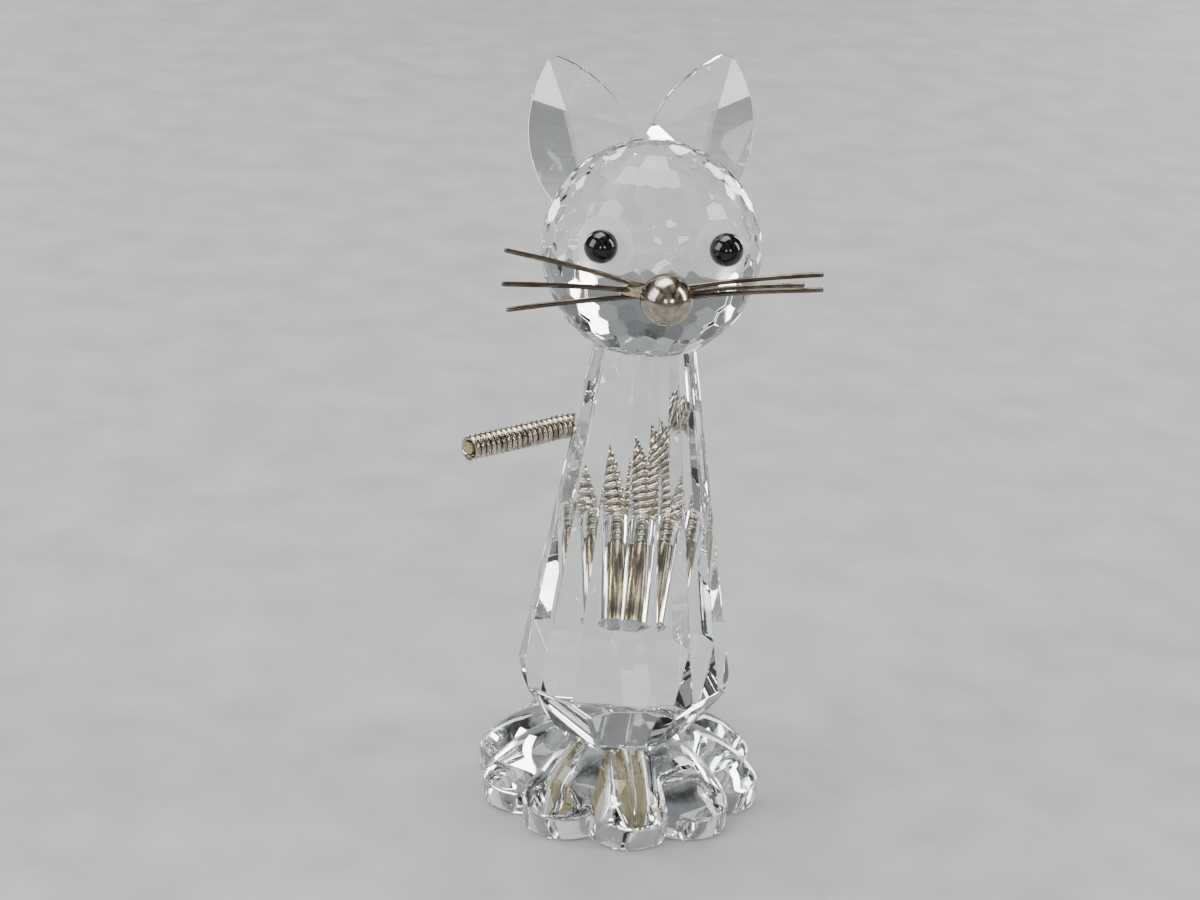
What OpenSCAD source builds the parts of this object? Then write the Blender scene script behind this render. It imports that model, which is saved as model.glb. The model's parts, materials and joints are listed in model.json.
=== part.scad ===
// Cut-glass cat: a seated cat built from facetted glass pieces cemented together,
// with glass bead eyes, a metal nose and whiskers, and a metal tail that bends by hand.
// Millimetres. Origin at the centre of the foot's flat underside, +Z up, -Y the way the cat faces.
// Left and right are as seen from the front: left is -X.

/* [Foot] */
// Number of petals round the foot
petals = 10; // [6:1:14]
// Radius to the tips of the petals
petal_tip_r = 13.8; // [12:0.1:16]
// Radius to the notches between petals
petal_notch_r = 11.9; // [11:0.1:13]
// Height of the upright wall round the foot
wall_h = 2.15; // [1:0.05:3]
// Height of the seat that the body stands on
seat_z = 6.9; // [6.5:0.1:7.5]
// Radius of the seat
seat_r = 6.6; // [6:0.1:7]

/* [Body] */
// Facets round the tall upper part
upper_facets = 16; // [12:2:24]
// Facets round the short cone under the girdle
cone_facets = 8; // [6:1:12]
// Half width across flats at the foot of the cone
cone_foot_r = 6.35; // [5.5:0.05:6.5]
// Half width across flats at the girdle
girdle_r = 10; // [9.5:0.05:10.5]
// Height of the girdle
girdle_z = 12.5; // [12:0.1:14]
// Half width across flats at the neck
neck_r = 4.5; // [4.2:0.05:5.2]
// Height of the neck
neck_z = 46; // [44:0.1:48]

/* [Head] */
// Radius of the sphere inside the head's facets
head_r = 9.95; // [9.5:0.05:10.4]
// Facets in each row round the head
head_facets = 26; // [20:2:32]
// Angle between rows of facets
head_row_step = 11.25; // [11:0.05:11.5]
// Distance of the ground neck flat below the head's centre
neck_flat = 8.45; // [8.3:0.05:8.6]

/* [Ears] */
// Radius of both sides of the almond outline
ear_arc_r = 12.1; // [11:0.1:13]
// Width of an ear
ear_w = 9.6; // [9:0.1:10]
// Thickness of an ear at its peak
ear_t = 3.2; // [2.4:0.1:3.6]
// How far behind the head's centre the ears stand
ear_back = 6.5; // [6:0.1:7]
// Lean of the left and right ear away from upright, as cemented
ear_lean = [21.5, 14.5]; // [10:0.5:25]
// Sideways place of the middle of the left and right ear
ear_x = [5.9, 4.4]; // [4:0.1:6]
// Height of the middle of the left and right ear
ear_z = [61.6, 62.0]; // [61:0.1:63]

/* [Face] */
// Radius of an eye bead
eye_r = 1.5; // [1.2:0.05:1.8]
// Angle of the eyes to each side of straight ahead
eye_turn = 33; // [28:1:38]
// Angle of the eyes above the head's centre
eye_rise = 15.8; // [12:0.1:20]
// Radius of the nose ball
nose_r = 2.3; // [2:0.05:2.5]
// Height of the nose
nose_z = 53.85; // [53:0.05:54.5]
// Diameter of the whisker wire
whisker_d = 0.46; // [0.4:0.02:0.5]

/* [Tail] */
// Outside diameter of the tail's wound sleeve
tail_d = 2.44; // [2:0.02:2.6]
// Diameter of the tail's core wire
core_d = 1.2; // [1:0.05:1.4]
// Diameter of the blind bore in the back
bore_d = 3.4; // [3:0.05:3.8]
// Depth of the blind bore
bore_depth = 9.6; // [8:0.1:11]
// Rise of the bore towards its mouth
bore_rise = 50; // [45:1:55]
// Turn of the bore away from straight back, towards the right
bore_turn = 8; // [0:1:10]
// Height of the bore's mouth in the back
mouth_z = 24.3; // [23:0.1:26]
// Radius of the tail's bend
tail_bend_r = 5.9; // [5.5:0.1:7]

/* [Hidden] */
$fn = 64;

glass = [0.86, 0.92, 0.95, 0.55];
metal = [0.62, 0.58, 0.5];

// Thickness of the clear cement between two pieces
cement = 0.02;
// Size of the blocks that trim pieces to a plane
block = 200;

head_z = neck_z + cement + neck_flat;
head_c = [0, 0, head_z];

// ---- general helpers ----

// Turn the local Z axis to the direction v
module aim(v) {
    rotate([0, acos(v.z / norm(v)), atan2(v.y, v.x)])
        children();
}

// Everything on the far side of a plane: beyond distance d from the origin along v
module beyond(v, d) {
    aim(v)
        translate([-block / 2, -block / 2, d])
            cube(block);
}

// A round bar between two points
module bar(a, b, d) {
    translate(a)
        aim(b - a)
            cylinder(h = norm(b - a), d = d);
}

function unit(v) = v / norm(v);
// Direction of a path at its point i: halfway between the runs on each side
function heading(path, i) = unit(
    (i > 0 ? unit(path[i] - path[i - 1]) : [0, 0, 0])
    + (i < len(path) - 1 ? unit(path[i + 1] - path[i]) : [0, 0, 0])
);

// A wire bent along a path of points; no run of it is upright
module wire(path, d) {
    sides = 12;
    last = len(path) - 1;
    points = [
        for (i = [0 : last], k = [0 : sides - 1])
            let (side = unit(cross(heading(path, i), [0, 0, 1])), top = cross(side, heading(path, i)))
            path[i] + d / 2 * (cos(k * 360 / sides) * side + sin(k * 360 / sides) * top)
    ];
    faces = concat(
        [[for (k = [0 : sides - 1]) sides - 1 - k]],
        [
            for (i = [0 : last - 1], k = [0 : sides - 1])
                let (a = i * sides + k, b = i * sides + (k + 1) % sides)
                [a, b, b + sides, a + sides]
        ],
        [[for (k = [0 : sides - 1]) last * sides + k]]
    );
    polyhedron(points = points, faces = faces, convexity = 2);
}

// A frustum with flat sides; one flat faces -Y, and radii are to the flats
module flat_sided(sides, low_r, high_r, h) {
    rotate([0, 0, 180 / sides - 90])
        linear_extrude(height = h, scale = high_r / low_r)
            circle(r = low_r / cos(180 / sides), $fn = sides);
}

// ---- foot ----

petal_a = 180 / petals;
notch = petal_notch_r * [cos(petal_a), sin(petal_a)];
// Centre of the arc through a petal's tip and its two notches
petal_c = (petal_tip_r * petal_tip_r - notch.x * notch.x - notch.y * notch.y)
    / (2 * (petal_tip_r - notch.x));
petal_r = petal_tip_r - petal_c;
// Each petal's top is part of a barrel lying across it
ridge_r = 12;
barrel_side_r = 4.9;
// The ridge passes through the tip at the wall's top, and just outside and below the seat's edge
ridge_in = 0.4;
ridge_down = 0.15;
ridge_a = [petal_tip_r, wall_h];
ridge_b = [seat_r + ridge_in, seat_z - ridge_down];
ridge_half = norm(ridge_a - ridge_b) / 2;
ridge_dir = (ridge_a - ridge_b) / (2 * ridge_half);
ridge_c = (ridge_a + ridge_b) / 2
    + sqrt(ridge_r * ridge_r - ridge_half * ridge_half) * [ridge_dir.y, -ridge_dir.x];

// The foot is worked out as rings of points from the seat's edge out to the wall
foot_steps = 12;
foot_rings = 7;
// Width of the flat rim that rings the seat
seat_rim = 0.25;
foot_n = petals * foot_steps;

// Angle from the middle of the petal that step j falls in
function petal_angle(j) = (j % foot_steps - foot_steps / 2) * 2 * petal_a / foot_steps;
// Radius of the outline at angle a from the petal's middle
function outline_r(a) = petal_c * cos(a) + sqrt(pow(petal_r, 2) - pow(petal_c * sin(a), 2));
// Height of the petal's top at radius r and angle a: a barrel, highest along the middle
function petal_z(r, a) = let (
        x = r * cos(a) - ridge_c.x,
        barrel = ridge_r - barrel_side_r + sqrt(pow(barrel_side_r, 2) - pow(r * sin(a), 2))
    )
    min(seat_z, ridge_c.y + sqrt(pow(barrel, 2) - x * x));
function foot_point(r, j, z) = let (turn = j * 360 / foot_n - petal_a - 90)
    [r * cos(turn), r * sin(turn), z];
function foot_top(j, part) = let (a = petal_angle(j), r = seat_r + (outline_r(a) - seat_r) * part)
    foot_point(r, j, petal_z(r, a));
foot_points = concat(
    [[0, 0, seat_z]],
    [for (j = [0 : foot_n - 1]) foot_point(seat_r - seat_rim, j, seat_z)],
    [for (k = [0 : foot_rings], j = [0 : foot_n - 1]) foot_top(j, k / foot_rings)],
    [for (j = [0 : foot_n - 1]) foot_point(outline_r(petal_angle(j)), j, 0)],
    [[0, 0, 0]]
);
function foot_at(ring, j) = 1 + ring * foot_n + j % foot_n;
foot_last = foot_rings + 2;
foot_faces = concat(
    [for (j = [0 : foot_n - 1]) [0, foot_at(0, j + 1), foot_at(0, j)]],
    [
        for (k = [0 : foot_last - 1], j = [0 : foot_n - 1])
            each [
                [foot_at(k, j), foot_at(k, j + 1), foot_at(k + 1, j + 1)],
                [foot_at(k, j), foot_at(k + 1, j + 1), foot_at(k + 1, j)]
            ]
    ],
    [for (j = [0 : foot_n - 1]) [len(foot_points) - 1, foot_at(foot_last, j), foot_at(foot_last, j + 1)]]
);

module foot_rosette() {
    color(glass)
        polyhedron(points = foot_points, faces = foot_faces);
}

// ---- body ----

bore_dir = [cos(bore_rise) * sin(bore_turn), cos(bore_rise) * cos(bore_turn), sin(bore_rise)];
upper_slope = (girdle_r - neck_r) / (neck_z - girdle_z);
// The mouth is on the body's back flat, a little to the right of its middle
mouth_y = neck_r + upper_slope * (neck_z - mouth_z);
mouth = [mouth_y * tan(bore_turn), mouth_y, mouth_z];
body_z = seat_z + cement;

// Radius to the flats at height z of a taper through two points [r, z]
function taper_at(a, b, z) = a[0] + (b[0] - a[0]) * (z - a[1]) / (b[1] - a[1]);

// A taper through two points, as tall as the whole body
module taper(sides, a, b) {
    translate([0, 0, body_z])
        flat_sided(sides, taper_at(a, b, body_z), taper_at(a, b, neck_z), neck_z - body_z);
}

module body_prism() {
    color(glass)
        difference() {
            intersection() {
                taper(upper_facets, [girdle_r, girdle_z], [neck_r, neck_z]);
                taper(cone_facets, [cone_foot_r, body_z], [girdle_r, girdle_z]);
            }
            bar(mouth - bore_depth * bore_dir, mouth + 3 * bore_dir, bore_d);
        }
}

// ---- head ----

// The head's facets touch a sphere in staggered rows, like scales. A corner stands where two facets
// of one row meet one facet of the next, on that one facet's own meridian.
first_row = -5;
last_row = 7;
head_half = 180 / head_facets;
table_r = 1.2;

// Corner [r, z] on the meridian of a facet at latitude own, against two at latitude other
function corner(own, other) = let (
        a = [cos(own), sin(own)],
        b = [cos(head_half) * cos(other), sin(other)],
        det = a.x * b.y - a.y * b.x
    )
    head_r * [b.y - a.y, a.x - b.x] / det;

function lat(row) = row * head_row_step;
function ring_point(rz, j) = [rz[0] * cos(j * head_half), rz[0] * sin(j * head_half), rz[1]];
// Even rows have facets at even steps round the head, odd rows at odd steps
function own_step(row, j) = (abs(row) + j) % 2 == 0;
function seam(row) = [
    for (j = [0 : 2 * head_facets - 1])
        ring_point(own_step(row, j) ? corner(lat(row), lat(row + 1)) : corner(lat(row + 1), lat(row)), j)
];
// Radius where two neighbours in a row meet at height z
function row_edge_r(row, z) = (head_r - z * sin(lat(row))) / (cos(lat(row)) * cos(head_half));
table_z = (head_r - table_r * cos(lat(last_row)) * cos(head_half)) / sin(lat(last_row));
function flat_ring(row, z) = [
    for (j = [0 : 2 * head_facets - 1])
        ring_point([row_edge_r(row, z) * (own_step(row, j) ? cos(head_half) : 1), z], j)
];

rings = concat(
    [flat_ring(first_row, -neck_flat)],
    [for (row = [first_row : last_row - 1]) seam(row)],
    [flat_ring(last_row, table_z)]
);
ring_n = 2 * head_facets;
function at(ring, j) = ring * ring_n + (j + ring_n) % ring_n;
head_faces = concat(
    [[for (j = [0 : ring_n - 1]) at(0, j)]],
    [
        for (row = [first_row : last_row], j = [0 : ring_n - 1])
            if (own_step(row, j))
                let (k = row - first_row)
                [at(k + 1, j - 1), at(k + 1, j), at(k + 1, j + 1), at(k, j + 1), at(k, j), at(k, j - 1)]
    ],
    [[for (j = [0 : ring_n - 1]) at(len(rings) - 1, ring_n - 1 - j)]]
);

// Directions and depths of the ground flats that hold the ears, eyes and nose
ear_seat = 9.4;
function ear_seat_dir(side) = [side * 0.5, 0.7, 0.51];
eye_seat = 9.6;
function eye_dir(side) = [
    side * cos(eye_rise) * sin(eye_turn), -cos(eye_rise) * cos(eye_turn), sin(eye_rise)
];
nose_seat = 9.75;

module head_ball() {
    color(glass)
        translate(head_c)
            hull()
                difference() {
                    rotate([0, 0, -90])
                        polyhedron(points = [for (ring = rings) each ring], faces = head_faces);
                    for (side = [-1, 1]) {
                        beyond(ear_seat_dir(side), ear_seat);
                        beyond(eye_dir(side), eye_seat);
                    }
                    beyond([0, -1, 0], nose_seat);
                }
}

// ---- ears ----

ear_half = sqrt(pow(ear_arc_r, 2) - pow(ear_arc_r - ear_w / 2, 2));
ear_peak = [4.6, 0.3, ear_t / 2];
// Straight steps in a full turn of either side of the outline
ear_steps = 200;
// How much of each pointed end is clipped
ear_clip = 0.4;
// How fast each facet falls from the peak, towards the ear's tip and outwards
ear_falls = [[0.27, 0.024], [0.27, -0.1], [0.122, -0.264], [-0.0815, -0.119], [-0.044, 0.255]];

module almond() {
    intersection() {
        translate([0, ear_arc_r - ear_w / 2])
            circle(ear_arc_r, $fn = ear_steps);
        translate([0, ear_w / 2 - ear_arc_r])
            circle(ear_arc_r, $fn = ear_steps);
        square([2 * (ear_half - ear_clip), ear_w + 1], center = true);
    }
}

// Lies flat: X towards the tip, Y outwards, Z to the front. Its outline is cut fine, at ear_steps
module ear_stone() {
    difference() {
        translate([0, 0, -ear_t / 2])
            linear_extrude(height = ear_t)
                almond();
        for (face = [0, 1], fall = ear_falls)
            mirror([0, 0, face])
                translate(ear_peak)
                    beyond([fall[0], fall[1], 1], 0);
    }
}

module ear(side, lean, x, z) {
    color(glass)
        hull()
            difference() {
                mirror([side > 0 ? 1 : 0, 0, 0])
                    translate([-x, ear_back, z])
                        rotate([0, -90 - lean, 0])
                            rotate([90, 0, 0])
                                ear_stone();
                translate(head_c)
                    beyond(-ear_seat_dir(side), -ear_seat - cement);
            }
}

// ---- face ----

eye_sink = 0.55;

module eye(side) {
    color([0.05, 0.05, 0.06])
        translate(head_c)
            difference() {
                translate((eye_seat + eye_r - eye_sink) * eye_dir(side))
                    sphere(eye_r);
                beyond(-eye_dir(side), -eye_seat - cement);
            }
}

// The whiskers are three straight-backed wires stacked behind the nose
bundle_y = -nose_seat - cement - whisker_d / 2;
bundle_half = 1.7;
// Clearance between neighbours that touch
play = 0.01;
nose_back = bundle_y - whisker_d / 2 - play;
// How much of the nose ball the flat at its back takes off
nose_cut = 0.35;
nose_c = [0, nose_back + nose_cut - nose_r, nose_z];

// Tips of the upper, middle and lower wire, left and right
whisker_tips = [
    [[-14.3, -13.0, 58.3], [13.5, -13.0, 56.8]],
    [[-14.4, -13.2, 55.3], [11.8, -13.6, 56.0]],
    [[-13.9, -13.0, 52.9], [13.6, -13.0, 55.4]]
];

module whisker(i) {
    z = nose_z + (1 - i) * (whisker_d + play);
    tips = whisker_tips[i];
    color(metal)
        wire([tips[0], [-bundle_half, bundle_y, z], [bundle_half, bundle_y, z], tips[1]], whisker_d);
}

module nose_ball() {
    color(metal)
        difference() {
            translate(nose_c)
                sphere(nose_r);
            translate([0, nose_back, 0])
                beyond([0, 1, 0], 0);
        }
}

// Solder flowed round the wires behind the nose; it runs out along them further on one side
solder_r = 0.72;
solder_ends = [-4.0, 2.7];

module nose_solder() {
    color(metal)
        difference() {
            bar([solder_ends[0], bundle_y, nose_z], [solder_ends[1], bundle_y, nose_z], 2 * solder_r);
            beyond([0, 1, 0], -nose_seat - cement);
        }
}

// ---- tail ----

// The tail leaves the bore straight, bends round through bend_turn in one plane, then runs straight
bend_links = 4;
end_links = 3;
links = bend_links + end_links;
tail_start = 2.2;
end_link_l = 3.9;
bend_start = mouth + tail_start * bore_dir;
end_dir = unit([-0.85, -0.527, 0]);
bend_turn = acos(bore_dir * end_dir);
// Unit vector square to the bore, in the plane of the bend
bend_in = (end_dir - (end_dir * bore_dir) * bore_dir) / sin(bend_turn);

function bend_point(a) = bend_start
    + tail_bend_r * (sin(a) * bore_dir + (1 - cos(a)) * bend_in);
function pivot(i) = i <= bend_links
    ? bend_point(i * bend_turn / bend_links)
    : bend_point(bend_turn) + (i - bend_links) * end_link_l * end_dir;

// A link is a ball at its own pivot and a sleeve that stops short of the next, hollowed for its ball
link_gap = 0.6;
ball_r = tail_d / 2 + play;
socket_r = ball_r + 0.05;
core_play = 0.02;
// The core stops this far short of the next pivot, and shows this much at the tail's tip
core_gap = 1.2;
core_out = 0.5;
// Length of the tail inside the bore: it stops just short of the bottom
root_l = bore_depth - 0.1;

module sleeve(from, to, is_last) {
    along = unit(to - from);
    stop = is_last ? to : to - link_gap * along;
    color(metal)
        difference() {
            union() {
                translate(from)
                    sphere(ball_r);
                bar(from, stop, tail_d);
            }
            bar(from - tail_d * along, to + tail_d * along, core_d + 2 * core_play);
            if (!is_last)
                translate(to)
                    sphere(r = socket_r);
        }
}

module core(from, to, is_last) {
    along = unit(to - from);
    stop = is_last ? to + core_out * along : to - core_gap * along;
    color(metal)
        bar(from, stop, core_d);
}

module tail_root_sleeve() {
    bottom = mouth - root_l * bore_dir;
    color(metal)
        difference() {
            bar(bottom, bend_start - link_gap * bore_dir, tail_d);
            bar(bottom - tail_d * bore_dir, bend_start, core_d + 2 * core_play);
            translate(bend_start)
                sphere(r = socket_r);
        }
}

// Cement round the root; it stops short of the mouth, under the slope of the back
cement_short = 1.6;

module tail_cement() {
    bottom = mouth - root_l * bore_dir;
    color([0.75, 0.66, 0.42])
        difference() {
            bar(bottom, mouth - cement_short * bore_dir, bore_d - 2 * cement);
            bar(bottom - tail_d * bore_dir, mouth, tail_d + 2 * cement);
        }
}

module tail_root_core() {
    color(metal)
        bar(mouth - root_l * bore_dir, bend_start - core_gap * bore_dir, core_d);
}

foot_rosette();
body_prism();
head_ball();
ear(-1, ear_lean[0], ear_x[0], ear_z[0]);  // ear_left
ear(1, ear_lean[1], ear_x[1], ear_z[1]);  // ear_right
eye(-1);  // eye_left
eye(1);  // eye_right
nose_ball();
nose_solder();
whisker(0);  // whisker_upper
whisker(1);  // whisker_middle
whisker(2);  // whisker_lower
tail_cement();
tail_root_sleeve();
tail_root_core();
for (i = [1 : links]) {
    sleeve(pivot(i - 1), pivot(i), i == links);
    core(pivot(i - 1), pivot(i), i == links);
}
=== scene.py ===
# %% [markdown]
# # A cut-glass cat
# This cat is glued up from pieces of clear lead crystal: a petalled foot, a tall facetted body, a ball
# for the head and two almond stones for ears. Black glass beads make the eyes, a plated ball the nose,
# three wires the whiskers, and a wound metal gooseneck the tail. The frame below comes from the CAD
# model, and every piece here is built on it, in metres.

# %% Load the frame
import json
import math

import bmesh
import bpy
from mathutils import Matrix, Vector, noise


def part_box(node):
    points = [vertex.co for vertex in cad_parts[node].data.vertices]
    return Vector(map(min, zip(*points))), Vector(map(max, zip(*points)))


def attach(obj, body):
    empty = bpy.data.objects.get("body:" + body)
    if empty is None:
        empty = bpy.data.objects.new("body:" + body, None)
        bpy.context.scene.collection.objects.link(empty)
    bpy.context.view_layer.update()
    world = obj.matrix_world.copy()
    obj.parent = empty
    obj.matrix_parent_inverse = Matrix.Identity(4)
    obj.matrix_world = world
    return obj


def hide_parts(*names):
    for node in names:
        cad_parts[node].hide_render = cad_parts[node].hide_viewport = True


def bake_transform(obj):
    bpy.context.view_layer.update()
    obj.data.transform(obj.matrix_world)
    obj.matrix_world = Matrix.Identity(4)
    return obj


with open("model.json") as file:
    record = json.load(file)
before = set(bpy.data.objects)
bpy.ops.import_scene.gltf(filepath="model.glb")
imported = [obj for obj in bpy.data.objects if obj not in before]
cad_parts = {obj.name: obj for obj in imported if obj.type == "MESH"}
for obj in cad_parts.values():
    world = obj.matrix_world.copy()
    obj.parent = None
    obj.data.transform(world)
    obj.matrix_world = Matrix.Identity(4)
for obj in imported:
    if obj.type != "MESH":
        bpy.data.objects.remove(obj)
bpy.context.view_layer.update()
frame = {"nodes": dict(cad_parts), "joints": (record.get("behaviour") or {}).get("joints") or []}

MM = 0.001
SAME_PLACE = 1e-7  # Corners closer than this, in metres, are one corner

# %% [markdown]
# ## Small helpers
# Four helpers do most of the work. The first turns a hex colour, which is how paint and metal charts
# give it, into the linear numbers that a shader adds up. The second adds a node with its settings and
# its links in a single call, so that a material reads like a list. The others start an empty material
# and put a finished mesh or curve into the scene.

# %% Colours and nodes
def linear(hex_colour):
    """'#rrggbb' in sRGB as linear red, green, blue and alpha."""
    channels = [int(hex_colour[i:i + 2], 16) / 255 for i in (1, 3, 5)]
    return [c / 12.92 if c <= 0.04045 else ((c + 0.055) / 1.055) ** 2.4 for c in channels] + [1.0]


def add(tree, kind, inputs=None, **settings):
    """Adds a node. An input is given a value, or another node's output socket to link from."""
    node = tree.nodes.new(kind)
    for name, value in settings.items():
        setattr(node, name, value)
    for name, value in (inputs or {}).items():
        socket = node.inputs[name]
        if isinstance(value, bpy.types.NodeSocket):
            tree.links.new(value, socket)
        else:
            socket.default_value = value
    return node


def new_material(name):
    """An empty node material, and the tree to build it in."""
    material = bpy.data.materials.new(name)
    material.use_nodes = True
    material.node_tree.nodes.clear()
    return material, material.node_tree


def new_object(name, data):
    """An object in the scene, from its mesh or curve."""
    piece = bpy.data.objects.new(name, data)
    bpy.context.scene.collection.objects.link(piece)
    return piece


print("middle grey in linear light:", [round(v, 3) for v in linear("#808080")])

# %% [markdown]
# ## Camera
# The cat is seen from above and from a little left of straight ahead. The lens is long and stands
# 250 mm away, so the tall body hardly narrows towards its foot. The camera is tilted a few degrees,
# as a hand holds it.

# %% Camera
CAMERA_TURN = math.radians(-6.54)
CAMERA_RISE = math.radians(22.0)
CAMERA_ROLL = math.radians(3.48)
CAMERA_DISTANCE = 250 * MM
CAMERA_AIM = Vector((-3.71, -1.39, 35.34)) * MM
LENS = 81.0

back = Vector((
    math.sin(CAMERA_TURN) * math.cos(CAMERA_RISE),
    -math.cos(CAMERA_TURN) * math.cos(CAMERA_RISE),
    math.sin(CAMERA_RISE),
))
level_right = (-back).cross(Vector((0, 0, 1))).normalized()
level_up = level_right.cross(-back)
right = level_right * math.cos(CAMERA_ROLL) + level_up * math.sin(CAMERA_ROLL)
up = level_up * math.cos(CAMERA_ROLL) - level_right * math.sin(CAMERA_ROLL)

camera_data = bpy.data.cameras.new("camera")
camera_data.lens = LENS
camera_data.sensor_width = 36.0
camera_data.clip_start = 0.01
camera = bpy.data.objects.new("camera", camera_data)
bpy.context.scene.collection.objects.link(camera)
facing = Matrix((right, up, back)).transposed().to_4x4()
camera.matrix_world = Matrix.Translation(CAMERA_AIM + CAMERA_DISTANCE * back) @ facing
bpy.context.scene.camera = camera
print("camera at", [round(v / MM) for v in camera.matrix_world.translation], "mm")

# %% [markdown]
# ## Light for glass
# Clear glass has no colour of its own. It is drawn by what it bends into view, so it needs bright
# shapes and dark gaps between them. Soft boxes stand round the cat for the bright shapes, and the dim
# room between them makes the dark lines. One box is a little warm and one a little cool, which tints
# the facets as daylight from a window and light from a lamp do. A broad skylight fills in the floor.

# %% Soft boxes and room
CAT_MIDDLE = Vector((0, 0, 35)) * MM
SKYLIGHT_WAY = Vector((0.25, -0.35, -1))
SKYLIGHT_POWER = 0.9  # Watts per square metre
SKYLIGHT_SPREAD = math.radians(50)
HORIZON = 0.28  # The room's brightness where it meets the floor, about as bright as the floor is there


def soft_box(name, place, width, height, watts, colour):
    """A rectangular lamp that faces the middle of the cat. place, width and height are in mm."""
    lamp = bpy.data.lights.new(name, "AREA")
    lamp.shape = "RECTANGLE"
    lamp.size = width * MM
    lamp.size_y = height * MM
    lamp.energy = watts
    lamp.color = linear(colour)[:3]
    box = bpy.data.objects.new(name, lamp)
    bpy.context.scene.collection.objects.link(box)
    box.location = Vector(place) * MM
    towards = CAT_MIDDLE - box.location
    box.rotation_euler = towards.to_track_quat("-Z", "Y").to_euler()


# Name, place in mm, width and height in mm, power in watts, colour
LAMPS = (
    ("overhead_box", (-60, 90, 520), 420, 300, 2.4, "#fffaf2"),
    ("window_box", (-430, -120, 260), 300, 380, 2.2, "#eef5ff"),
    ("lamp_box", (400, -40, 230), 110, 340, 1.3, "#fff0dc"),
    ("back_left_strip", (-230, 400, 120), 70, 300, 0.7, "#f4f8ff"),
    ("back_right_strip", (260, 380, 140), 70, 300, 0.8, "#fff6ea"),
    # Two low strips beside the camera catch the tip facets of the ears
    ("left_ear_strip", (-72, -440, 150), 60, 80, 0.22, "#fff0ec"),
    ("right_ear_strip", (150, -430, 160), 70, 90, 0.26, "#eef6ff"),
)
for lamp_row in LAMPS:
    soft_box(*lamp_row)

# The skylight reaches the whole floor alike, so that it doesn't fade into the dark far away
skylight_data = bpy.data.lights.new("skylight", "SUN")
skylight_data.energy = SKYLIGHT_POWER
skylight_data.angle = SKYLIGHT_SPREAD
skylight_data.color = linear("#fdfdff")[:3]
skylight = bpy.data.objects.new("skylight", skylight_data)
bpy.context.scene.collection.objects.link(skylight)
skylight.rotation_euler = SKYLIGHT_WAY.to_track_quat("-Z", "Y").to_euler()

world = bpy.data.worlds.new("studio_room")
world.use_nodes = True
bpy.context.scene.world = world
room = world.node_tree
room.nodes.clear()
direction = add(room, "ShaderNodeTexCoord").outputs["Generated"]
height = add(room, "ShaderNodeSeparateXYZ", {"Vector": direction}).outputs["Z"]
# The room grows brighter towards its ceiling
ceiling = add(room, "ShaderNodeMapRange", {
    "Value": height, "From Min": 0.0, "From Max": 0.9, "To Min": 0.22, "To Max": 0.40,
}).outputs["Result"]
# Furniture and curtains: slow patches of light and dark, which give every facet its own tone
patches = add(room, "ShaderNodeTexNoise", {"Vector": direction, "Scale": 2.6, "Detail": 1.0})
dim_or_bright = add(room, "ShaderNodeMapRange", {
    "Value": patches.outputs["Fac"], "From Min": 0.40, "From Max": 0.60, "To Min": 0.15, "To Max": 1.85,
}).outputs["Result"]
above = add(room, "ShaderNodeMath", {0: ceiling, 1: dim_or_bright}, operation="MULTIPLY").outputs[0]
# The patches fade in above the horizon, so that the floor has no visible end
sweep = add(room, "ShaderNodeMapRange", {
    "Value": height, "From Min": 0.06, "From Max": 0.30, "To Min": 0.0, "To Max": 1.0,
}, interpolation_type="SMOOTHSTEP").outputs["Result"]
strength = add(room, "ShaderNodeMix", {0: sweep, 2: HORIZON, 3: above}).outputs[0]
walls = add(room, "ShaderNodeBackground", {"Color": linear("#dfe3e6"), "Strength": strength})
add(room, "ShaderNodeOutputWorld", {"Surface": walls.outputs["Background"]})

bpy.context.scene.cycles.max_bounces = 24
bpy.context.scene.cycles.transmission_bounces = 24
bpy.context.scene.cycles.glossy_bounces = 8

# %% [markdown]
# ## Lead crystal
# Lead crystal is heavy glass with an index of refraction of 1.54 to 1.58. Cut pieces are ground and
# then polished on a wheel, so their facets are flat and mirror smooth, with a few very fine scratches.
# Pressed pieces are fire-polished and keep a soft waviness. The cement between two pieces has the
# same index as the glass, and light crosses the joint without bending. So the faces that touch get a
# material that bends nothing.

# %% Glass materials
CRYSTAL_IOR = 1.56


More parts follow.
